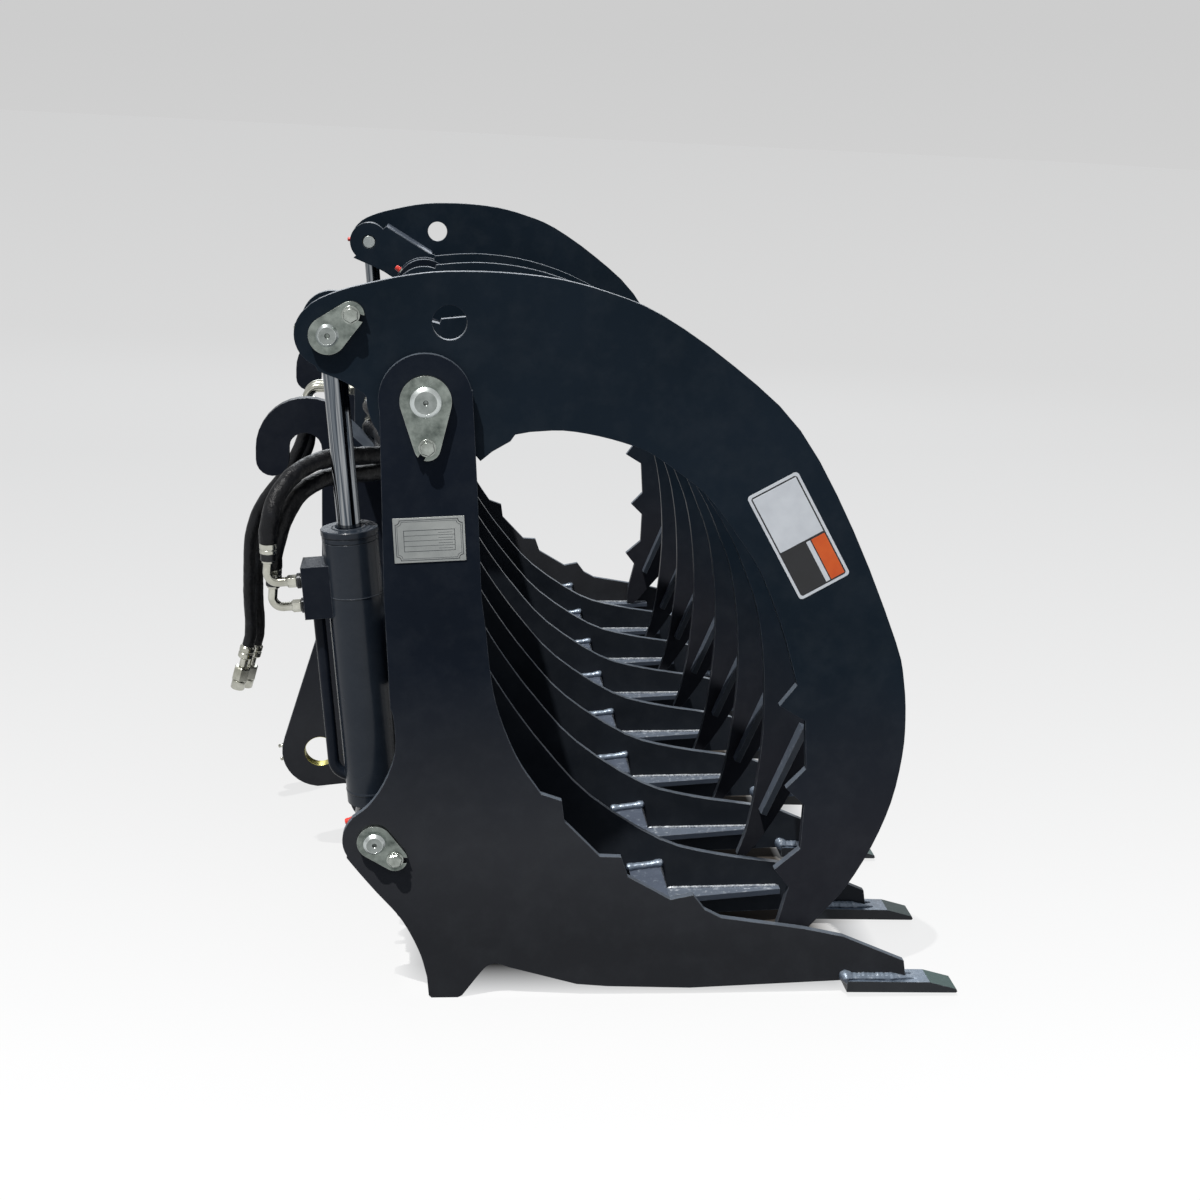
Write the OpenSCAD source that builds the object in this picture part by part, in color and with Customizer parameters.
// Hay grapple: tined lower frame with two hydraulic clamps on a loader coupler.
// X runs forward to the tine tips, Y across the tool, Z up from the ground.

/* [Layout] */
// Size that every plate outline and pivot position is a share of
outline_size = 1000; // [900:1:1100]
// Distance between neighbouring lower tines
tine_pitch = 225; // [215:1:250]
// Distance between the middles of the two coupler plates
coupler_spacing = 842; // [800:1:860]
// Reach of the tool tip in front of the heel
tip_reach = 746; // [735:1:760]

/* [Plates] */
// Thickness of the side plates and lower tines
tine_thickness = 10; // [8:1:16]
// Thickness of the clamp plates and clamp tines
clamp_thickness = 12; // [8:1:16]
// Thickness of the coupler plates
coupler_thickness = 20; // [15:1:25]
// Thickness of the pivot support plates
support_thickness = 20; // [15:1:25]
// Thickness of the ledges on the lower tines
ledge_thickness = 9; // [6:1:10]
// Thickness of the ribs on the clamp tines
rib_thickness = 10; // [8:1:14]
// Side gap between a clamp and its side plate
side_gap = 6; // [4:0.5:8]

/* [Tubes] */
// Outer size of the two square rear tubes
rear_tube = 100; // [90:1:105]
// Wall of the rear tubes
rear_tube_wall = 8; // [5:0.5:12]
// Outer size of the square coupler tube
coupler_tube = 80; // [70:1:84]
// Wall of the coupler tube
coupler_tube_wall = 6; // [4:0.5:10]
// Outer radius of the clamp pivot tubes
pivot_tube_radius = 38; // [36:0.5:44]
// Radius of the bushes that sit in the clamp pivot tubes
bush_radius = 28; // [25:0.5:32]

/* [Pins] */
// Radius of the clamp pivot pins
pivot_pin_radius = 20; // [16:0.5:22]
// Radius of the cylinder pins
cylinder_pin_radius = 15; // [12:0.5:17]
// Running clearance on the radius of a pin in its bush
running_clearance = 0.05; // [0.02:0.01:0.09]
// Radius of the loader pin hole in each coupler plate
coupler_eye_radius = 25; // [20:0.5:28]
// Radius of the lifting hole in each clamp plate
lifting_hole_radius = 22; // [18:0.5:26]
// Thickness of the pin keeper plates
keeper_thickness = 8; // [6:0.5:10]

/* [Cylinders] */
// Outer radius of the cylinder barrels
barrel_radius = 38; // [35:0.5:40]
// Bore radius of the cylinder barrels
barrel_bore = 32; // [28:0.5:33]
// Radius of the cylinder rods
rod_radius = 16; // [14:0.5:20]
// Width of the rod eye and of the base eye
eye_width = 56; // [50:1:60]
// Clearance on the radius of the rod eye, which is the open pivot
rod_eye_clearance = 9.5; // [9:0.1:11]

/* [Hoses] */
// Outer radius of the sleeved cylinder hoses
cylinder_hose_radius = 12.5; // [11:0.5:13]
// Outer radius of the two supply hoses
supply_hose_radius = 10.5; // [9:0.5:12]

/* [Hidden] */
$fn = 64;

// Points across the tool, taken from the middle
side_outer = 4 * tine_pitch + tine_thickness / 2;
side_inner = side_outer - tine_thickness;
clamp_outer = side_inner - side_gap;
clamp_inner = clamp_outer - clamp_thickness;
eye_side_gap = 3;
boss_length = 29;
cylinder_middle = clamp_inner - boss_length - eye_side_gap - eye_width / 2;
lever_outer = cylinder_middle - eye_width / 2 - eye_side_gap - boss_length;
lever_inner = lever_outer - clamp_thickness;
clamp_tine_share = [2.55, 1.55, 0.55];
clamp_tine_middle = tine_pitch * clamp_tine_share;
support_gap = 8;
support_outer = clamp_tine_middle[0] - clamp_thickness / 2 - support_gap;
support_inner = support_outer - support_thickness;
end_cap = 8;
support_bush_wall = 5;
support_bush_stand = 3;
pivot_end_share = 0.27;
pivot_end = tine_pitch * pivot_end_share;
coupler_outer = coupler_spacing / 2 + coupler_thickness / 2;
coupler_inner = coupler_outer - coupler_thickness;

// Pivot points as shares of the outline size
pivot_share = [-0.042, 0.851];
base_pin_share = [-0.101, 0.243];
rod_eye_share = [-0.166, 0.928];
coupler_eye_share = [-0.203, 0.184];
lifting_hole_share = [-0.0136, 0.9486];
pivot = outline_size * pivot_share;
base_pin = outline_size * base_pin_share;
rod_eye = outline_size * rod_eye_share;
coupler_eye = outline_size * coupler_eye_share;
lifting_hole = outline_size * lifting_hole_share;

// The frame of the drawing starts at the heel and is moved to the middle
hook_back_share = -0.302;
hook_back = outline_size * hook_back_share;
origin_x = (tip_reach + hook_back) / 2;

// Rear tubes
tube_rear_share = -0.07;
upper_tube_share = 0.44;
lower_tube_share = 0.12;
tube_rear = outline_size * tube_rear_share;
tube_front = tube_rear + rear_tube;
upper_tube_z = outline_size * upper_tube_share;
lower_tube_z = outline_size * lower_tube_share;

// Radii of the plate ends around their pins
side_boss = 60;
base_boss = 44;
clamp_boss = 75;
tine_boss = 62;
lever_boss = 58;
eye_boss = 42;
lug_boss = 40;
base_spacer_radius = 24;

// Bolts that hold the pin keepers
bolt_radius = 5;
bolt_head_radius = 10.5;
bolt_head_height = 7;
bolt_stop = 2;
bolt_depth = min(tine_thickness, clamp_thickness) - bolt_stop;
pivot_bolt_share = [-0.039, 0.792];
rod_bolt_share = [-0.137, 0.955];
base_bolt_share = [-0.073, 0.218];
pivot_bolt = outline_size * pivot_bolt_share;
rod_bolt = outline_size * rod_bolt_share;
base_bolt = outline_size * base_bolt_share;
keeper_end_radius = 17;
pivot_keeper_radius = 33;
cylinder_keeper_radius = 24;

// Teeth under the lower tines
tooth_width = 38;
tooth_length = 166;
tooth_bevel_length = 43;
tooth_top_rear_share = 0.0265;
tooth_top_front_share = 0.0235;
tooth_bottom_rear_share = 0.009;
tooth_bottom_front_share = 0.006;
tooth_rear = tip_reach - tooth_length;
tooth_top_rear = outline_size * tooth_top_rear_share;
tooth_top_front = outline_size * tooth_top_front_share;
tooth_bevel = tip_reach - tooth_bevel_length;
tooth_bottom_rear = outline_size * tooth_bottom_rear_share;
tooth_bottom_front = outline_size * tooth_bottom_front_share;
tooth_face = 6;
tooth_nose = 2;
function tooth_top(x) = tooth_top_rear
    + (tooth_top_front - tooth_top_rear) * (x - tooth_rear) / (tooth_bevel - tooth_rear);
plate_on_tooth = 90;
plate_slant = 5;
plate_end = tooth_rear + plate_on_tooth;

// Side plate outline, from the arm down its rear edge
side_arm_shares = [
    [-0.101, 0.862], [-0.092, 0.588], [-0.082, 0.436]];
side_scallop_shares = [
    [-0.082, 0.436], [-0.077, 0.418], [-0.075, 0.37],
    [-0.09, 0.325], [-0.11, 0.294], [-0.132, 0.276]];
side_lower_shares = [
    [-0.139, 0.217], [-0.123, 0.196], [-0.098, 0.165], [-0.068, 0.13],
    [-0.05, 0.1], [-0.035, 0.066], [-0.026, 0.033]];
side_heel_shares = [
    [-0.023, 0.004], [-0.019, 0], [0.018, 0], [0.024, 0.003]];
side_hollow_shares = [
    [0.024, 0.003], [0.05, 0.04], [0.06, 0.05], [0.072, 0.053], [0.089, 0.047]];
side_belly_shares = [
    [0.187, 0.019], [0.231, 0.015], [0.351, 0.011]];
belly_end_share = 0.0205;
belly_gap = 8;
belly_end = [tooth_rear - belly_gap, outline_size * belly_end_share];
plate_nose_share = 0.051;
plate_nose = [plate_end - plate_slant, outline_size * plate_nose_share];
side_step_shares = [
    [0.571, 0.091], [0.511, 0.104], [0.39, 0.122], [0.365, 0.135],
    [0.347, 0.158], [0.315, 0.151], [0.252, 0.187], [0.241, 0.217], [0.211, 0.218],
    [0.159, 0.271], [0.154, 0.302], [0.125, 0.312]];
side_throat_shares = [
    [0.125, 0.312], [0.096, 0.354], [0.077, 0.393], [0.06, 0.44],
    [0.05, 0.49], [0.043, 0.545], [0.036, 0.59]];
side_top_shares = [[0.026, 0.747], [0.017, 0.866]];

// Lower tine outline, from the lip on the upper tube down its inner edge
tine_neck_shares = [0.474, 0.44, 0.41];
tine_neck_widths = [10, 18, 32];
tine_inner_shares = [
    [0.1, 0.352], [0.15, 0.287],
    [0.22, 0.212], [0.332, 0.14], [0.42, 0.115], [0.515, 0.101], [0.571, 0.091]];
tine_belly_shares = [
    [0.351, 0.011], [0.187, 0.019], [0.06, 0.04],
    [-0.02, 0.07], [-0.05, 0.112]];
tine_lip_share = 0.52;
tine_rear_share = -0.06;

// Clamp plate outline, from behind the rod eye along its outer edge
clamp_outer_shares = [
    [-0.207, 0.94], [-0.187, 0.966], [-0.15, 0.984], [-0.108, 0.996], [-0.065, 1.006],
    [-0.019, 1.012], [0.05, 1.0135], [0.124, 1.008], [0.19, 0.993], [0.257, 0.968],
    [0.355, 0.906], [0.45, 0.824], [0.534, 0.69], [0.608, 0.535], [0.626, 0.476],
    [0.634, 0.42], [0.635, 0.365], [0.626, 0.295], [0.604, 0.226], [0.572, 0.162],
    [0.54, 0.12], [0.517, 0.092], [0.5, 0.07]];
clamp_tip_shares = [[0.49, 0.062], [0.478, 0.062], [0.474, 0.067]];
clamp_teeth_shares = [
    [0.475, 0.101], [0.488, 0.162], [0.465, 0.19], [0.5, 0.222], [0.5, 0.289],
    [0.472, 0.315], [0.498, 0.344], [0.491, 0.416], [0.453, 0.438]];
clamp_inner_shares = [
    [0.475, 0.469], [0.453, 0.535], [0.43, 0.591], [0.408, 0.635], [0.377, 0.678],
    [0.34, 0.724], [0.31, 0.75], [0.26, 0.784], [0.23, 0.797], [0.183, 0.809],
    [0.136, 0.815], [0.093, 0.812]];
clamp_notch_shares = [[0.074, 0.808], [0.068, 0.799], [0.045, 0.785], [0.03, 0.772]];
clamp_under_shares = [[-0.101, 0.8], [-0.112, 0.846], [-0.144, 0.869], [-0.178, 0.882]];

// Clamp tine outline, from over the pivot along its outer edge
inner_tine_outer_shares = [
    [-0.02, 0.917], [0.03, 0.923], [0.08, 0.925], [0.14, 0.921], [0.2, 0.91],
    [0.265, 0.89], [0.33, 0.86], [0.385, 0.82], [0.435, 0.77], [0.485, 0.7],
    [0.535, 0.61], [0.575, 0.51], [0.592, 0.44], [0.599, 0.37], [0.597, 0.3],
    [0.58, 0.23], [0.558, 0.175], [0.53, 0.12], [0.502, 0.076]];
inner_tine_tip_shares = [[0.492, 0.064], [0.48, 0.062]];
inner_tine_inner_shares = [
    [0.478, 0.067], [0.49, 0.108], [0.498, 0.16], [0.503, 0.22], [0.505, 0.29],
    [0.501, 0.36], [0.492, 0.43], [0.477, 0.495], [0.455, 0.548], [0.43, 0.6],
    [0.39, 0.66], [0.34, 0.722], [0.295, 0.762], [0.24, 0.792], [0.183, 0.81],
    [0.13, 0.816], [0.08, 0.812], [0.02, 0.794]];

// Lever plate outline between the pivot and the rod eye
lever_top_shares = [[-0.129, 0.963], [-0.028, 0.905]];
lever_low_shares = [[-0.095, 0.83], [-0.114, 0.853], [-0.132, 0.864], [-0.151, 0.873], [-0.2, 0.892]];
stiffener_thickness = 10;

// Ribs on the clamp tines, ledges on the lower tines and the bar that joins them
rib_shares = [[0.572, 0.294], [0.517, 0.144]];
rib_top_width = 27;
rib_low_width = 20;
cross_bar_shares = [[0.286, 0.09], [0.334, 0.097], [0.349, 0.041], [0.3, 0.034]];
ledge_rear_share = [0.348, 0.057];
ledge_front_share = [0.526, 0.061];
ledge_rear_width = 36;
ledge_front_width = 12;

// Pivot supports and coupler
support_foot_shares = [[-0.062, 0], [0.03, 0]];
hook_centre_share = [-0.222, 0.691];
hook_radius_share = 0.08;
slot_radius_share = 0.0255;
hook_tip_share = 0.672;
coupler_top_shares = [
    [-0.15, 0.728], [-0.14, 0.71], [-0.12, 0.697], [-0.095, 0.68], [-0.07, 0.645]];
coupler_lug_shares = [[-0.164, 0.127], [-0.207, 0.122]];
coupler_leg_top_share = 0.38;
coupler_lug_rear_share = [-0.211, 0.374];
coupler_leg_share = -0.2;
coupler_eye_boss = 62;
tube_rear_gap_share = -0.16;
coupler_tube_share = 0.605;
coupler_tube_rear = outline_size * tube_rear_gap_share;
coupler_tube_z = outline_size * coupler_tube_share;
brace_shares = [[-0.16, 0.748], [-0.078, 0.672]];
brace_thickness = 10;

// Cylinder lengths, measured from the base pin along the cylinder
cylinder_run = norm(rod_eye - base_pin);
cylinder_tilt = atan2(rod_eye[0] - base_pin[0], rod_eye[1] - base_pin[1]);
base_eye_radius = 30;
rod_eye_radius = 38;
barrel_start = 26;
barrel_end_share = 0.405;
barrel_end = outline_size * barrel_end_share;
gland_flange = 17;
gland_depth = 20;
gland_radius = barrel_radius + 1;
cap_depth = 22;
piston_length = 42;
piston_gap = 4;
port_block_share = 0.302;
port_block_z = outline_size * port_block_share;
port_block_height = 73;
port_block_width = 56;
port_block_reach = 69;
port_step = 43;
port_low = 9;
upper_port_side = 8;
lower_port_side = -20;
port_block_side = -34;
elbow_reach = 45;
elbow_radius = 7;
ferrule_radius = 13;
ferrule_length = 42;
ferrule_crimp = 22;
ferrule_wall = 1;
ferrule_overlap = 2;
oil_pipe_radius = 8;
oil_pipe_bend = 24;

// Hose routes on the right side, as shares of the outline size and real points
upper_port_z = port_block_z + port_low + port_step;
lower_port_z = port_block_z + port_low;
elbow_back = port_block_reach + elbow_reach;
function along(x, s) = [
    base_pin[0] + x * cos(cylinder_tilt) + s * sin(cylinder_tilt),
    base_pin[1] - x * sin(cylinder_tilt) + s * cos(cylinder_tilt)];
upper_elbow = along(-elbow_back, upper_port_z);
lower_elbow = along(-elbow_back, lower_port_z);
elbow_rise = 14;
upper_hose_z = upper_elbow[1] + elbow_rise + ferrule_length;
lower_hose_z = lower_elbow[1] + elbow_rise + ferrule_length;
upper_hose_y = cylinder_middle + upper_port_side;
lower_hose_y = cylinder_middle + lower_port_side;

// Manifold block on the coupler tube
manifold_rear_share = -0.155;
manifold_front_share = -0.095;
manifold_rear = outline_size * manifold_rear_share;
manifold_front = outline_size * manifold_front_share;
manifold_length = 110;
manifold_middle = 250;
manifold_height = 95;
manifold_z = coupler_tube_z + coupler_tube;
manifold_right = manifold_middle + manifold_length / 2;
manifold_left = manifold_middle - manifold_length / 2;
fitting_length = 70;
fitting_radius = 9;
upper_line = [(manifold_rear + manifold_front) / 2, manifold_z + manifold_height * 0.72];
lower_line = [(manifold_rear + manifold_front) / 2, manifold_z + manifold_height * 0.36];

// Data plate on the right side plate
data_plate_share = [-0.034, 0.67];
data_plate_size = [94, 60];
data_plate_thickness = 1;
data_plate_turn = 4;

// Bodies of points and small helpers
function spline_point(a, b, c, d, t) =
    ((2 * b) + (c - a) * t + (2 * a - 5 * b + 4 * c - d) * t * t
    + (3 * b - a - 3 * c + d) * t * t * t) / 2;
function smooth(points, steps) = let(last = len(points) - 1) [
    for (i = [0 : last - 1])
        for (j = [0 : steps - 1])
            spline_point(
                i == 0 ? 2 * points[0] - points[1] : points[i - 1],
                points[i],
                points[i + 1],
                i == last - 1 ? 2 * points[last] - points[last - 1] : points[i + 2],
                j / steps),
    points[last]];
function arc(centre, radius, start, end, steps) = [
    for (i = [0 : steps])
        centre + radius * [cos(start + (end - start) * i / steps), sin(start + (end - start) * i / steps)]];

// A plate with its outline in X and Z, standing between two places across the tool
module slab(low, thickness) {
    translate([0, low + thickness, 0])
        rotate([90, 0, 0])
            linear_extrude(height = thickness)
                children();
}

// A round bar across the tool at a point in X and Z
module across(low, high, point, radius) {
    translate([point[0], high, point[1]])
        rotate([90, 0, 0])
            cylinder(r = radius, h = high - low);
}

module disc(point, radius) {
    translate(point)
        circle(r = radius);
}

// An outline whose points are listed the other way round
module turned_polygon(points) {
    polygon([for (i = [len(points) - 1 : -1 : 0]) points[i]]);
}

module bar_between(start, end, width) {
    run = end - start;
    translate(start)
        rotate([0, 0, atan2(run[1], run[0])])
            translate([0, -width / 2])
                square([norm(run), width]);
}

module on_frame() {
    translate([-origin_x, 0, 0])
        children();
}

module right_side() {
    mirror([0, 1, 0])
        children();
}

module both_sides() {
    children();
    mirror([0, 1, 0])
        children();
}

// Lower frame
module side_outline() {
    difference() {
        union() {
            polygon(concat(
                outline_size * side_arm_shares,
                smooth(outline_size * side_scallop_shares, 3),
                smooth(outline_size * side_lower_shares, 3),
                outline_size * side_heel_shares,
                smooth(outline_size * side_hollow_shares, 3),
                outline_size * side_belly_shares,
                [belly_end, [tooth_rear, tooth_top(tooth_rear)],
                 [plate_end, tooth_top(plate_end)], plate_nose],
                outline_size * side_step_shares,
                smooth(outline_size * side_throat_shares, 3),
                outline_size * side_top_shares));
            disc(pivot, side_boss);
            disc(base_pin, base_boss);
        }
        disc(pivot, pivot_pin_radius);
        disc(base_pin, cylinder_pin_radius);
    }
}

module side_plate() {
    difference() {
        slab(side_inner, tine_thickness)
            side_outline();
        across(side_outer - bolt_depth, side_outer + bolt_depth, pivot_bolt, bolt_radius);
        across(side_outer - bolt_depth, side_outer + bolt_depth, base_bolt, bolt_radius);
    }
}

module right_side_plate() {
    color("#1b1f27") on_frame() right_side() side_plate();
}

module left_side_plate() {
    color("#1b1f27") on_frame() side_plate();
}

module tine_outline() {
    polygon(concat(
        [[tube_front, outline_size * tine_lip_share]],
        smooth(concat(
            [for (i = [0 : 2]) [tube_front + tine_neck_widths[i], outline_size * tine_neck_shares[i]]],
            outline_size * tine_inner_shares), 3),
        [plate_nose, [plate_end, tooth_top(plate_end)],
         [tooth_rear, tooth_top(tooth_rear)], belly_end],
        outline_size * tine_belly_shares,
        [[outline_size * tine_rear_share, lower_tube_z], [tube_front, lower_tube_z],
         [tube_front, lower_tube_z + rear_tube],
         [outline_size * tine_rear_share, lower_tube_z + rear_tube],
         [outline_size * tine_rear_share, upper_tube_z], [tube_front, upper_tube_z]]));
}

module lower_tine(number) {
    color("#1c2028")
        on_frame()
            slab((number - 4) * tine_pitch - tine_thickness / 2, tine_thickness)
                tine_outline();
}

module lower_tine_1() {
    lower_tine(1);
}

module lower_tine_2() {
    lower_tine(2);
}

module lower_tine_3() {
    lower_tine(3);
}

module lower_tine_4() {
    lower_tine(4);
}

module lower_tine_5() {
    lower_tine(5);
}

module lower_tine_6() {
    lower_tine(6);
}

module lower_tine_7() {
    lower_tine(7);
}

module square_tube(rear, bottom, size, wall, half_length) {
    corner = wall * 1.2;
    slab(-half_length, 2 * half_length)
        difference() {
            union() {
                translate([rear + corner, bottom])
                    square([size - 2 * corner, size]);
                translate([rear, bottom + corner])
                    square([size, size - 2 * corner]);
                disc([rear + corner, bottom + corner], corner);
                disc([rear + size - corner, bottom + corner], corner);
                disc([rear + corner, bottom + size - corner], corner);
                disc([rear + size - corner, bottom + size - corner], corner);
            }
            translate([rear + wall, bottom + wall])
                square([size - 2 * wall, size - 2 * wall]);
        }
}

module upper_rear_tube() {
    color("#191d25")
        on_frame()
            square_tube(tube_rear, upper_tube_z, rear_tube, rear_tube_wall, side_inner);
}

module lower_rear_tube() {
    color("#191d25")
        on_frame()
            square_tube(tube_rear, lower_tube_z, rear_tube, rear_tube_wall, side_inner);
}

module between_tines() {
    for (number = [0 : 7])
        slab((number - 4) * tine_pitch + tine_thickness / 2, tine_pitch - tine_thickness)
            children();
}

module cross_bar() {
    color("#1c2028")
        on_frame()
            between_tines()
                polygon(outline_size * cross_bar_shares);
}

// A flat bar on edge that stands out from a plate face, wider at its start
module ledge(start, end, thickness, start_width, end_width) {
    run = end - start;
    translate([start[0], 0, start[1]])
        rotate([0, -atan2(run[1], run[0]), 0])
            translate([0, 0, -thickness])
                linear_extrude(height = thickness)
                    polygon([[0, 0], [norm(run), 0], [norm(run), end_width], [0, start_width]]);
}

module tine_ledge() {
    ledge(outline_size * ledge_rear_share, outline_size * ledge_front_share,
        ledge_thickness, ledge_rear_width, ledge_front_width);
}

module tine_ledges() {
    color("#1c2028")
        on_frame()
            for (number = [0 : 7]) {
                translate([0, (number - 4) * tine_pitch + tine_thickness / 2, 0])
                    tine_ledge();
                translate([0, (number - 3) * tine_pitch - tine_thickness / 2, 0])
                    mirror([0, 1, 0])
                        tine_ledge();
            }
}

module tine_tips() {
    color("#20242c")
        on_frame()
            for (number = [0 : 8])
                slab((number - 4) * tine_pitch - tooth_width / 2, tooth_width)
                    polygon([
                        [tooth_rear, tooth_top_rear], [tooth_bevel, tooth_top_front],
                        [tip_reach - tooth_nose, tooth_bottom_front + tooth_face],
                        [tip_reach, tooth_bottom_front + tooth_nose],
                        [tip_reach - tooth_nose, tooth_bottom_front],
                        [tooth_rear, tooth_bottom_rear]]);
}

module support_plate() {
    foot = upper_tube_z + rear_tube;
    difference() {
        slab(support_inner, support_thickness)
            union() {
                polygon([
                    [outline_size * support_foot_shares[0][0], foot],
                    [outline_size * support_foot_shares[1][0], foot],
                    [pivot[0] + side_boss, pivot[1]], [pivot[0] - side_boss, pivot[1]]]);
                disc(pivot, side_boss);
            }
        across(support_inner - support_gap, support_outer + support_gap, pivot,
            pivot_tube_radius + support_bush_wall);
    }
}

module pivot_supports() {
    color("#1b1f27") on_frame() both_sides() support_plate();
}

// Loader coupler
module coupler_outline() {
    hook = outline_size * hook_centre_share;
    hook_radius = outline_size * hook_radius_share;
    slot_radius = outline_size * slot_radius_share;
    leg = outline_size * coupler_leg_share;
    slot_middle = leg - slot_radius;
    slot_rear = slot_middle - slot_radius;
    tip_radius = (slot_rear - hook_back) / 2;
    tip_middle = [hook_back + tip_radius, outline_size * hook_tip_share];
    difference() {
        polygon(concat(
            arc(hook, hook_radius, 180, 40, 14),
            outline_size * coupler_top_shares,
            [[tube_rear, lower_tube_z]],
            outline_size * coupler_lug_shares,
            arc(coupler_eye, coupler_eye_boss, 264, 164, 10),
            [outline_size * coupler_lug_rear_share, [leg, outline_size * coupler_leg_top_share]],
            arc([slot_middle, hook[1]], slot_radius, 0, 180, 10),
            arc(tip_middle, tip_radius, 0, -180, 10)));
        disc(coupler_eye, coupler_eye_radius);
    }
}

module coupler_plate() {
    slab(coupler_inner, coupler_thickness)
        coupler_outline();
}

module right_coupler_plate() {
    color("#1b1f27") on_frame() right_side() coupler_plate();
}

module left_coupler_plate() {
    color("#1b1f27") on_frame() coupler_plate();
}

module coupler_cross_tube() {
    color("#191d25")
        on_frame()
            square_tube(coupler_tube_rear, coupler_tube_z, coupler_tube, coupler_tube_wall, coupler_inner);
}

module coupler_braces() {
    start = outline_size * brace_shares[0];
    end = outline_size * brace_shares[1];
    color("#3a3f47")
        on_frame()
            both_sides()
                slab(coupler_outer, support_inner - coupler_outer)
                    translate([0, -brace_thickness])
                        bar_between(start, end, brace_thickness);
}

module base_lug_outline() {
    difference() {
        union() {
            disc(base_pin, lug_boss);
            polygon([
                base_pin + [-lug_boss * 0.7, -lug_boss * 0.7], base_pin + [0, lug_boss],
                [tube_rear, lower_tube_z + rear_tube * 0.95], [tube_rear, lower_tube_z + rear_tube * 0.2]]);
        }
        translate([tube_rear, lower_tube_z])
            square([rear_tube, rear_tube]);
        disc(base_pin, cylinder_pin_radius);
    }
}

module cylinder_base_lugs() {
    boss_start = cylinder_middle + eye_width / 2 + eye_side_gap;
    boss_end = cylinder_middle - eye_width / 2 - eye_side_gap;
    color("#1b1f27")
        on_frame()
            both_sides() {
                slab(lever_inner, clamp_thickness)
                    base_lug_outline();
                difference() {
                    union() {
                        across(boss_start, side_inner, base_pin, base_spacer_radius);
                        across(lever_outer, boss_end, base_pin, base_spacer_radius);
                    }
                    across(lever_inner, side_outer, base_pin, cylinder_pin_radius);
                }
            }
}

// Pins and keepers of the frame
module pin_with_grease_hole(low, high, point, radius) {
    chamfer = 2;
    difference() {
        union() {
            across(low, high - chamfer, point, radius);
            translate([point[0], high, point[1]])
                rotate([90, 0, 0])
                    cylinder(r1 = radius - chamfer, r2 = radius, h = chamfer);
        }
        across(high - bolt_depth, high + bolt_depth, point, chamfer);
    }
}

pin_stand = 10;
bush_length = 40;
pivot_pin_inner = clamp_inner - bush_length;
module pivot_pins() {
    color("#b9bba6")
        on_frame()
            both_sides()
                pin_with_grease_hole(
                    pivot_pin_inner, side_outer + keeper_thickness + pin_stand, pivot, pivot_pin_radius);
}

// Bushes in the pivot supports that the clamp pivot tubes turn in
module support_bushes() {
    low = support_inner - support_bush_stand;
    high = support_outer + support_bush_stand;
    color("#b08d4c")
        on_frame()
            both_sides()
                difference() {
                    across(low, high, pivot, pivot_tube_radius + support_bush_wall);
                    across(low - side_gap, high + side_gap, pivot, pivot_tube_radius + running_clearance);
                }
}

module base_pins() {
    color("#b9bba6")
        on_frame()
            both_sides()
                pin_with_grease_hole(
                    lever_inner, side_outer + keeper_thickness + pin_stand, base_pin, cylinder_pin_radius);
}

module keeper_outline(pin_point, bolt_point, pin_radius, plate_radius) {
    difference() {
        union() {
            disc(pin_point, plate_radius);
            disc(bolt_point, keeper_end_radius);
            tangent_sides(pin_point, plate_radius, bolt_point, keeper_end_radius);
        }
        disc(pin_point, pin_radius);
        disc(bolt_point, bolt_radius);
    }
}

// The flat sides that touch a large and a small circle
module tangent_sides(start, start_radius, end, end_radius) {
    run = end - start;
    turn = atan2(run[1], run[0]);
    spread = acos((start_radius - end_radius) / norm(run));
    polygon([
        start + start_radius * [cos(turn + spread), sin(turn + spread)],
        end + end_radius * [cos(turn + spread), sin(turn + spread)],
        end + end_radius * [cos(turn - spread), sin(turn - spread)],
        start + start_radius * [cos(turn - spread), sin(turn - spread)]]);
}

module frame_keeper_plates() {
    color("#a9ad98")
        on_frame()
            both_sides()
                slab(side_outer, keeper_thickness) {
                    keeper_outline(pivot, pivot_bolt, pivot_pin_radius, pivot_keeper_radius);
                    keeper_outline(base_pin, base_bolt, cylinder_pin_radius, cylinder_keeper_radius);
                }
}

module keeper_bolt(seat, point) {
    across(seat - keeper_thickness - bolt_depth, seat, point, bolt_radius);
    translate([point[0], seat + bolt_head_height, point[1]])
        rotate([90, 0, 0])
            cylinder(r = bolt_head_radius, h = bolt_head_height, $fn = 6);
}

module frame_keeper_bolts() {
    seat = side_outer + keeper_thickness;
    color("#c3c4b4")
        on_frame()
            both_sides() {
                keeper_bolt(seat, pivot_bolt);
                keeper_bolt(seat, base_bolt);
            }
}

module data_plate() {
    middle = outline_size * data_plate_share;
    color("#c9cccf")
        on_frame()
            right_side()
                slab(side_outer, data_plate_thickness)
                    translate(middle)
                        rotate([0, 0, data_plate_turn])
                            square(data_plate_size, center = true);
}

// Clamps
module clamp_plate_solid() {
    difference() {
        slab(clamp_inner, clamp_thickness)
            difference() {
                union() {
                    turned_polygon(concat(
                        smooth(outline_size * clamp_outer_shares, 3),
                        outline_size * clamp_tip_shares,
                        outline_size * clamp_teeth_shares,
                        smooth(outline_size * clamp_inner_shares, 3),
                        outline_size * clamp_notch_shares,
                        [pivot],
                        smooth(outline_size * clamp_under_shares, 3)));
                    disc(pivot, clamp_boss);
                    disc(rod_eye, eye_boss);
                }
                disc(pivot, pivot_pin_radius + running_clearance);
                disc(rod_eye, cylinder_pin_radius);
                disc(lifting_hole, lifting_hole_radius);
            }
        across(clamp_outer - bolt_depth, clamp_outer + bolt_depth, rod_bolt, bolt_radius);
    }
}

module right_clamp_plate() {
    color("#1a1e26") on_frame() right_side() clamp_plate_solid();
}

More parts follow.
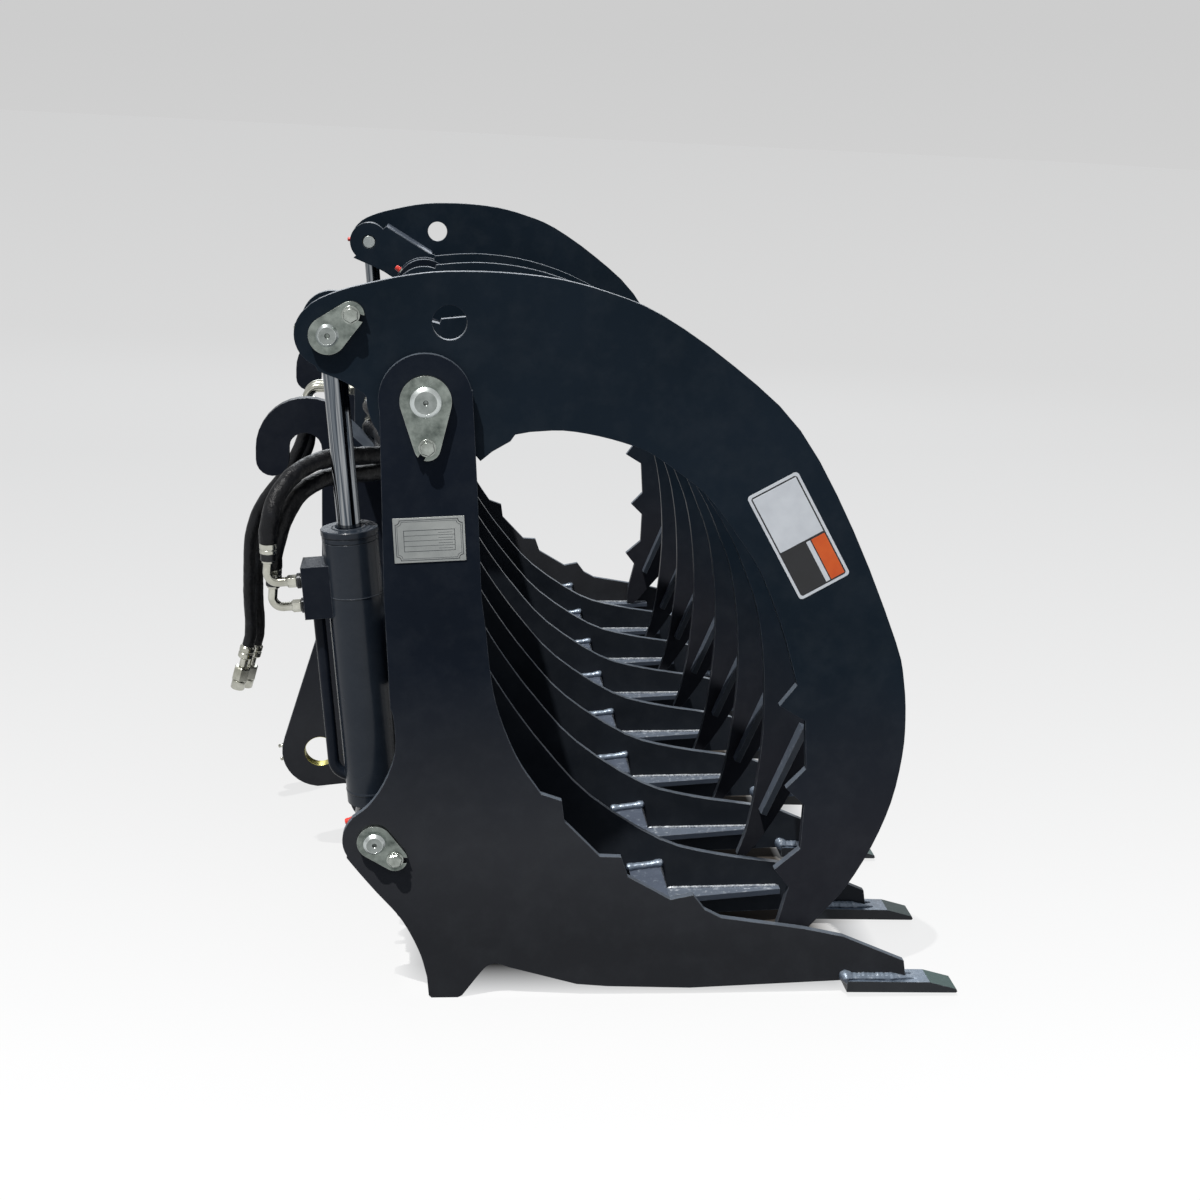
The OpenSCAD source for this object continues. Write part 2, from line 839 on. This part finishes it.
module left_clamp_plate() {
    color("#1a1e26") on_frame() clamp_plate_solid();
}

module clamp_tine(number) {
    slab(clamp_tine_middle[number] - clamp_thickness / 2, clamp_thickness) {
        turned_polygon(concat(
            smooth(outline_size * inner_tine_outer_shares, 3),
            outline_size * inner_tine_tip_shares,
            smooth(outline_size * inner_tine_inner_shares, 3),
            [pivot]));
        disc(pivot, tine_boss);
    }
}

module right_clamp_tine_1() {
    color("#1c2028") on_frame() right_side() clamp_tine(0);
}

module right_clamp_tine_2() {
    color("#1c2028") on_frame() right_side() clamp_tine(1);
}

module right_clamp_tine_3() {
    color("#1c2028") on_frame() right_side() clamp_tine(2);
}

module left_clamp_tine_1() {
    color("#1c2028") on_frame() clamp_tine(0);
}

module left_clamp_tine_2() {
    color("#1c2028") on_frame() clamp_tine(1);
}

module left_clamp_tine_3() {
    color("#1c2028") on_frame() clamp_tine(2);
}

module lever_solid() {
    boss_start = cylinder_middle + eye_width / 2 + eye_side_gap;
    boss_end = cylinder_middle - eye_width / 2 - eye_side_gap;
    slab(lever_inner, clamp_thickness)
        difference() {
            union() {
                disc(pivot, lever_boss);
                disc(rod_eye, eye_boss);
                polygon(concat(
                    outline_size * lever_top_shares,
                    [pivot],
                    outline_size * lever_low_shares));
            }
            disc(rod_eye, cylinder_pin_radius);
        }
    difference() {
        union() {
            across(boss_start, clamp_inner, rod_eye, eye_boss * 0.75);
            across(lever_outer, boss_end, rod_eye, eye_boss * 0.75);
        }
        across(lever_inner, side_outer, rod_eye, cylinder_pin_radius);
    }
}

module right_clamp_lever() {
    color("#1a1e26") on_frame() right_side() lever_solid();
}

module left_clamp_lever() {
    color("#1a1e26") on_frame() lever_solid();
}

module clamp_rib() {
    ledge(outline_size * rib_shares[0], outline_size * rib_shares[1],
        rib_thickness, rib_top_width, rib_low_width);
}

module clamp_rib_set() {
    half = clamp_thickness / 2;
    for (middle = clamp_tine_middle) {
        translate([0, middle + half, 0])
            clamp_rib();
        translate([0, middle - half, 0])
            mirror([0, 1, 0])
                clamp_rib();
    }
    translate([0, clamp_inner, 0])
        mirror([0, 1, 0])
            clamp_rib();
    slab(lever_outer, clamp_inner - lever_outer)
        translate([0, -stiffener_thickness / 2])
            bar_between(outline_size * lever_top_shares[0], outline_size * lever_top_shares[1],
                stiffener_thickness);
}

module right_clamp_ribs() {
    color("#20242c") on_frame() right_side() clamp_rib_set();
}

module left_clamp_ribs() {
    color("#20242c") on_frame() clamp_rib_set();
}

module pivot_tube_set() {
    half = clamp_thickness / 2;
    edges = [clamp_inner, lever_outer, lever_inner, clamp_tine_middle[0] + half,
        clamp_tine_middle[0] - half, clamp_tine_middle[1] + half,
        clamp_tine_middle[1] - half, clamp_tine_middle[2] + half];
    tube_end = clamp_tine_middle[2] - half;
    for (i = [0 : 3])
        difference() {
            across(edges[2 * i + 1], edges[2 * i], pivot, pivot_tube_radius);
            across(edges[2 * i + 1] - side_gap, edges[2 * i] + side_gap, pivot, bush_radius);
        }
    difference() {
        across(pivot_end, tube_end, pivot, pivot_tube_radius);
        across(pivot_end + end_cap, tube_end + side_gap, pivot, bush_radius);
    }
}

module right_clamp_pivot_tubes() {
    color("#191d25") on_frame() right_side() pivot_tube_set();
}

module left_clamp_pivot_tubes() {
    color("#191d25") on_frame() pivot_tube_set();
}

module bush_solid() {
    difference() {
        across(pivot_pin_inner, clamp_inner, pivot, bush_radius);
        across(pivot_end, clamp_outer, pivot, pivot_pin_radius + running_clearance);
    }
}

module right_clamp_bush() {
    color("#b08d4c") on_frame() right_side() bush_solid();
}

module left_clamp_bush() {
    color("#b08d4c") on_frame() bush_solid();
}

module rod_pin_set() {
    pin_with_grease_hole(
        lever_inner, clamp_outer + keeper_thickness + pin_stand - side_gap, rod_eye, cylinder_pin_radius);
    slab(clamp_outer, keeper_thickness)
        keeper_outline(rod_eye, rod_bolt, cylinder_pin_radius, cylinder_keeper_radius);
    keeper_bolt(clamp_outer + keeper_thickness, rod_bolt);
}

module right_rod_pin() {
    color("#b9bba6") on_frame() right_side() rod_pin_set();
}

module left_rod_pin() {
    color("#b9bba6") on_frame() rod_pin_set();
}

// Cylinders, drawn upright on the base pin and then tilted
module on_cylinder() {
    translate([base_pin[0], cylinder_middle, base_pin[1]])
        rotate([0, cylinder_tilt, 0])
            children();
}

module eye_barrel(height, radius, bore, width) {
    translate([0, width / 2, height])
        rotate([90, 0, 0])
            difference() {
                cylinder(r = radius, h = width);
                translate([0, 0, -eye_side_gap])
                    cylinder(r = bore, h = width + 2 * eye_side_gap);
            }
}

module barrel_solid() {
    on_cylinder() {
        difference() {
            union() {
                translate([0, 0, barrel_start])
                    cylinder(r = barrel_radius, h = barrel_end - barrel_start);
                eye_barrel(0, base_eye_radius, cylinder_pin_radius + running_clearance, eye_width);
            }
            translate([0, 0, barrel_start + cap_depth])
                cylinder(r = barrel_bore, h = barrel_end);
            translate([0, eye_width, 0])
                rotate([90, 0, 0])
                    cylinder(r = cylinder_pin_radius + running_clearance, h = 2 * eye_width);
        }
    }
}

module right_cylinder_barrel() {
    color("#1d222b") on_frame() right_side() barrel_solid();
}

module left_cylinder_barrel() {
    color("#1d222b") on_frame() barrel_solid();
}

module gland_solid() {
    on_cylinder()
        difference() {
            union() {
                translate([0, 0, barrel_end])
                    cylinder(r = gland_radius, h = gland_flange);
                translate([0, 0, barrel_end - gland_depth])
                    cylinder(r = barrel_bore, h = gland_depth);
            }
            translate([0, 0, barrel_end - 2 * gland_depth])
                cylinder(r = rod_radius + running_clearance, h = 4 * gland_depth);
        }
}

module right_cylinder_gland() {
    color("#22262e") on_frame() right_side() gland_solid();
}

module left_cylinder_gland() {
    color("#22262e") on_frame() gland_solid();
}

module elbow_at(side, height) {
    block_back = -port_block_reach;
    hex_radius = 10;
    hex_length = 20;
    bend = elbow_rise;
    translate([block_back, side, height]) {
        rotate([0, -90, 0])
            cylinder(r = hex_radius, h = hex_length, $fn = 6);
        translate([-hex_length, 0, 0])
            rotate([0, -90, 0])
                cylinder(r = elbow_radius, h = elbow_reach - hex_length - bend);
        translate([bend - elbow_reach, 0, bend])
            rotate([90, 0, 0])
                rotate([0, 0, 180])
                    rotate_extrude(angle = 90)
                        translate([bend, 0])
                            circle(r = elbow_radius);
    }
}

module pipework_solid() {
    pipe_start = barrel_start + cap_depth + 2 * oil_pipe_radius;
    pipe_x = -barrel_radius - oil_pipe_radius - 6;
    on_cylinder() {
        difference() {
            translate([-port_block_reach, port_block_side, port_block_z])
                cube([port_block_reach - barrel_radius / 2, port_block_width, port_block_height]);
            translate([0, 0, port_block_z - eye_width])
                cylinder(r = barrel_radius, h = port_block_height + 2 * eye_width);
        }
        translate([pipe_x, 0, pipe_start + oil_pipe_bend])
            cylinder(r = oil_pipe_radius, h = port_block_z - pipe_start - oil_pipe_bend);
        difference() {
            translate([pipe_x + oil_pipe_bend, 0, pipe_start + oil_pipe_bend])
                rotate([90, 0, 0])
                    rotate([0, 0, 180])
                        rotate_extrude(angle = 90)
                            translate([oil_pipe_bend, 0])
                                circle(r = oil_pipe_radius);
            cylinder(r = barrel_radius, h = barrel_end);
        }
    }
}

module right_cylinder_pipework() {
    color("#1d222b") on_frame() right_side() pipework_solid();
}

module left_cylinder_pipework() {
    color("#1d222b") on_frame() pipework_solid();
}

// Plated elbows that turn up from the port block and the ferrules on top of them
module elbow_pair() {
    on_cylinder() {
        elbow_at(upper_port_side, upper_port_z);
        elbow_at(lower_port_side, lower_port_z);
    }
    hose_stub([upper_elbow[0], upper_hose_y, upper_hose_z]);
    hose_stub([lower_elbow[0], lower_hose_y, lower_hose_z]);
}

module hose_stub(top) {
    stub_length = ferrule_length + ferrule_overlap;
    translate(top - [0, 0, stub_length])
        cylinder(r = elbow_radius + ferrule_wall, h = stub_length);
    translate(top - [0, 0, ferrule_crimp])
        cylinder(r = ferrule_radius, h = ferrule_crimp);
}

module right_cylinder_elbows() {
    color("#c9cbc6") on_frame() right_side() elbow_pair();
}

module left_cylinder_elbows() {
    color("#c9cbc6") on_frame() elbow_pair();
}

module rod_solid() {
    piston_end = barrel_end - gland_depth - piston_gap;
    on_cylinder() {
        difference() {
            union() {
                translate([0, 0, piston_end])
                    cylinder(r = rod_radius, h = cylinder_run - piston_end);
                eye_barrel(cylinder_run, rod_eye_radius, cylinder_pin_radius + rod_eye_clearance, eye_width);
            }
            translate([0, eye_width, cylinder_run])
                rotate([90, 0, 0])
                    cylinder(r = cylinder_pin_radius + rod_eye_clearance, h = 2 * eye_width);
        }
        translate([0, 0, piston_end - piston_length])
            cylinder(r = barrel_bore - running_clearance, h = piston_length);
    }
}

module right_cylinder_rod() {
    color("#c8ccd0") on_frame() right_side() rod_solid();
}

module left_cylinder_rod() {
    color("#c8ccd0") on_frame() rod_solid();
}

// Manifold and hoses
module manifold() {
    color("#262a31")
        on_frame()
            translate([manifold_rear, -manifold_right, manifold_z])
                cube([manifold_front - manifold_rear, manifold_length, manifold_height]);
}

supply_port_z = manifold_z + manifold_height * 0.79;
supply_first = 255;
supply_second = 220;
supply_fitting = 60;
supply_bend = 20;
supply_ferrule = 25;
module manifold_fittings() {
    color("#c9cbc6")
        on_frame() {
            across(-manifold_right - fitting_length, -manifold_right, upper_line, fitting_radius);
            across(-manifold_right - fitting_length, -manifold_right, lower_line, fitting_radius);
            across(-manifold_left, fitting_length - manifold_left, upper_line, fitting_radius);
            across(-manifold_left, fitting_length - manifold_left, lower_line, fitting_radius);
            for (place = [supply_first, supply_second])
                translate([manifold_rear - supply_fitting, -place, supply_port_z])
                    supply_elbow();
        }
}

// An elbow that leaves the rear of the manifold and turns down into a ferrule
module supply_elbow() {
    rotate([0, 90, 0])
        cylinder(r = fitting_radius, h = supply_fitting);
    translate([0, 0, -supply_bend])
        rotate([90, 0, 0])
            rotate([0, 0, 90])
                rotate_extrude(angle = 90)
                    translate([supply_bend, 0])
                        circle(r = fitting_radius);
    translate([-supply_bend, 0, -supply_bend - supply_ferrule])
        cylinder(r = ferrule_radius, h = supply_ferrule);
}

// Tube along a run of points, as one closed surface
function unit(v) = v / norm(v);
function route_direction(points, i) = let(last = len(points) - 1)
    unit(i == 0 ? points[1] - points[0] : i == last ? points[last] - points[last - 1]
        : points[i + 1] - points[i - 1]);
function ring_side(direction) = unit(cross(direction, abs(direction[1]) < 0.9 ? [0, 1, 0] : [1, 0, 0]));
function carried(points, i) = i == 0 ? ring_side(route_direction(points, 0))
    : let(before = carried(points, i - 1), direction = route_direction(points, i))
        unit(before - (before * direction) * direction);
module hose(points, radius, sides) {
    last = len(points) - 1;
    rings = [for (i = [0 : last])
        let(first = carried(points, i), second = cross(route_direction(points, i), first))
            for (j = [0 : sides - 1])
                points[i] + radius * (first * cos(360 * j / sides) + second * sin(360 * j / sides))];
    polyhedron(
        points = rings,
        faces = concat(
            [[for (j = [0 : sides - 1]) j]],
            [for (i = [0 : last - 1])
                for (j = [0 : sides - 1])
                    [i * sides + j, (i + 1) * sides + j,
                     (i + 1) * sides + (j + 1) % sides, i * sides + (j + 1) % sides]],
            [[for (j = [sides - 1 : -1 : 0]) last * sides + j]]));
}

hose_sides = 12;
hose_straight = 16;
upper_lean = [4.5, -2, 40];
lower_lean = [8, -4, 48];
upper_bend_shares = [
    [-0.236, 3.609, 0.703], [-0.218, 3.516, 0.725], [-0.198, 3.404, 0.735], [-0.175, 3.289, 0.74],
    [-0.152, 3.182, 0.739], [-0.129, 3.098, 0.7365], [-0.11, 3.031, 0.7345], [-0.094, 2.907, 0.734],
    [-0.092, 2.747, 0.737], [-0.103, 2.578, 0.743], [-0.104, 2.378, 0.749], [-0.105, 2.133, 0.754]];
lower_bend_shares = [
    [-0.228, 3.507, 0.668], [-0.212, 3.449, 0.695], [-0.192, 3.342, 0.707], [-0.172, 3.227, 0.711],
    [-0.149, 3.124, 0.71], [-0.128, 3.036, 0.7075], [-0.109, 2.933, 0.706], [-0.097, 2.764, 0.709],
    [-0.103, 2.578, 0.715], [-0.104, 2.378, 0.721], [-0.107, 2.133, 0.726]];
hose_run_shares = [1.333, 0.978, 0.622, 0.267, -0.089];
hose_end = manifold_right + fitting_length;
upper_lead = 40;
upper_drop = 3.6;
upper_nose = 5;
lower_lead = 55;
lower_drop = 8.8;
lower_nose = 20;
function bends(shares) = [for (p = shares) [outline_size * p[0], tine_pitch * p[1], outline_size * p[2]]];
upper_start = [upper_elbow[0], upper_hose_y, upper_hose_z];
lower_start = [lower_elbow[0], lower_hose_y, lower_hose_z];
upper_route = concat(
    [upper_start, upper_start + [0, 0, hose_straight], upper_start + upper_lean], bends(upper_bend_shares),
    [[upper_line[0], hose_end + upper_lead, upper_line[1] + upper_drop],
     [upper_line[0], hose_end + upper_nose, upper_line[1]]]);
lower_route = concat(
    [lower_start, lower_start + [0, 0, hose_straight], lower_start + lower_lean], bends(lower_bend_shares),
    [[lower_line[0], hose_end + lower_lead, lower_line[1] + lower_drop],
     [lower_line[0], hose_end + lower_nose, lower_line[1]]]);

// A route that leaves its first point in a straight line and curves from its second one
function led(points, last, steps) = concat([points[0]], smooth([for (i = [1 : last]) points[i]], steps));

module hose_pair(upper_end, lower_end) {
    color("#15171b") {
        hose(concat(led(upper_route, len(upper_route) - 1, 2), upper_end),
            cylinder_hose_radius, hose_sides);
        hose(concat(led(lower_route, len(lower_route) - 1, 2), lower_end),
            cylinder_hose_radius, hose_sides);
    }
}

module right_cylinder_hoses() {
    on_frame()
        right_side()
            hose_pair(
                [[upper_line[0], hose_end, upper_line[1]]],
                [[lower_line[0], hose_end, lower_line[1]]]);
}

module left_cylinder_hoses() {
    run_on = concat(tine_pitch * hose_run_shares, [fitting_length - manifold_left]);
    on_frame()
        hose_pair(
            [for (place = run_on) [upper_line[0], place, upper_line[1]]],
            [for (place = run_on) [lower_line[0], place, lower_line[1]]]);
}

supply_start = [manifold_rear - supply_fitting - supply_bend, supply_port_z - supply_bend - supply_ferrule];
supply_route = [
    supply_start, supply_start - [0, 15], [-245, 665], [-268, 619], [-310, 560], [-328, 510],
    [-332, 461], [-333, 396], [-331, 352], [-332, 326], [-337, 306]];
supply_end = supply_route[len(supply_route) - 1];
supply_second_shift = [10, -8];

module supply_hoses() {
    count = len(supply_route);
    color("#121418")
        on_frame() {
            supply_hose([for (p = supply_route) [p[0], -supply_first, p[1]]]);
            supply_hose([for (i = [0 : count - 1])
                let(p = supply_route[i] + (i < 2 ? 0 : 1) * supply_second_shift)
                    [p[0], -supply_second, p[1]]]);
        }
}

module supply_hose(points) {
    last = len(points) - 1;
    hose(concat(led(points, last - 1, 2), [points[last]]), supply_hose_radius, hose_sides);
}

module supply_fitting_solid() {
    fitting_run = 78;
    rotate([0, -166, 0]) {
        cylinder(r = 13, h = 20);
        cylinder(r = 7, h = fitting_run - 22);
        translate([0, 0, fitting_run - 40])
            cylinder(r = 15, h = 26, $fn = 6);
        translate([0, 0, fitting_run - 16])
            cylinder(r = 12, h = 16);
    }
}

module supply_fittings() {
    color("#c9cbc6")
        on_frame() {
            translate([supply_end[0], -supply_first, supply_end[1]])
                supply_fitting_solid();
            translate([supply_end[0] + supply_second_shift[0], -supply_second,
                supply_end[1] + supply_second_shift[1]])
                supply_fitting_solid();
        }
}

// Every sub-part, drawn one at a time or all together

right_side_plate();
left_side_plate();
lower_tine_1();
lower_tine_2();
lower_tine_3();
lower_tine_4();
lower_tine_5();
lower_tine_6();
lower_tine_7();
upper_rear_tube();
lower_rear_tube();
cross_bar();
tine_ledges();
tine_tips();
pivot_supports();
right_coupler_plate();
left_coupler_plate();
coupler_cross_tube();
coupler_braces();
cylinder_base_lugs();
pivot_pins();
support_bushes();
base_pins();
frame_keeper_plates();
frame_keeper_bolts();
data_plate();
manifold();
manifold_fittings();
supply_hoses();
supply_fittings();
right_cylinder_hoses();
left_cylinder_hoses();
right_clamp_plate();
right_clamp_tine_1();
right_clamp_tine_2();
right_clamp_tine_3();
right_clamp_lever();
right_clamp_ribs();
right_clamp_pivot_tubes();
right_clamp_bush();
right_rod_pin();
left_clamp_plate();
left_clamp_tine_1();
left_clamp_tine_2();
left_clamp_tine_3();
left_clamp_lever();
left_clamp_ribs();
left_clamp_pivot_tubes();
left_clamp_bush();
left_rod_pin();
right_cylinder_barrel();
right_cylinder_gland();
right_cylinder_pipework();
right_cylinder_elbows();
right_cylinder_rod();
left_cylinder_barrel();
left_cylinder_gland();
left_cylinder_pipework();
left_cylinder_elbows();
left_cylinder_rod();
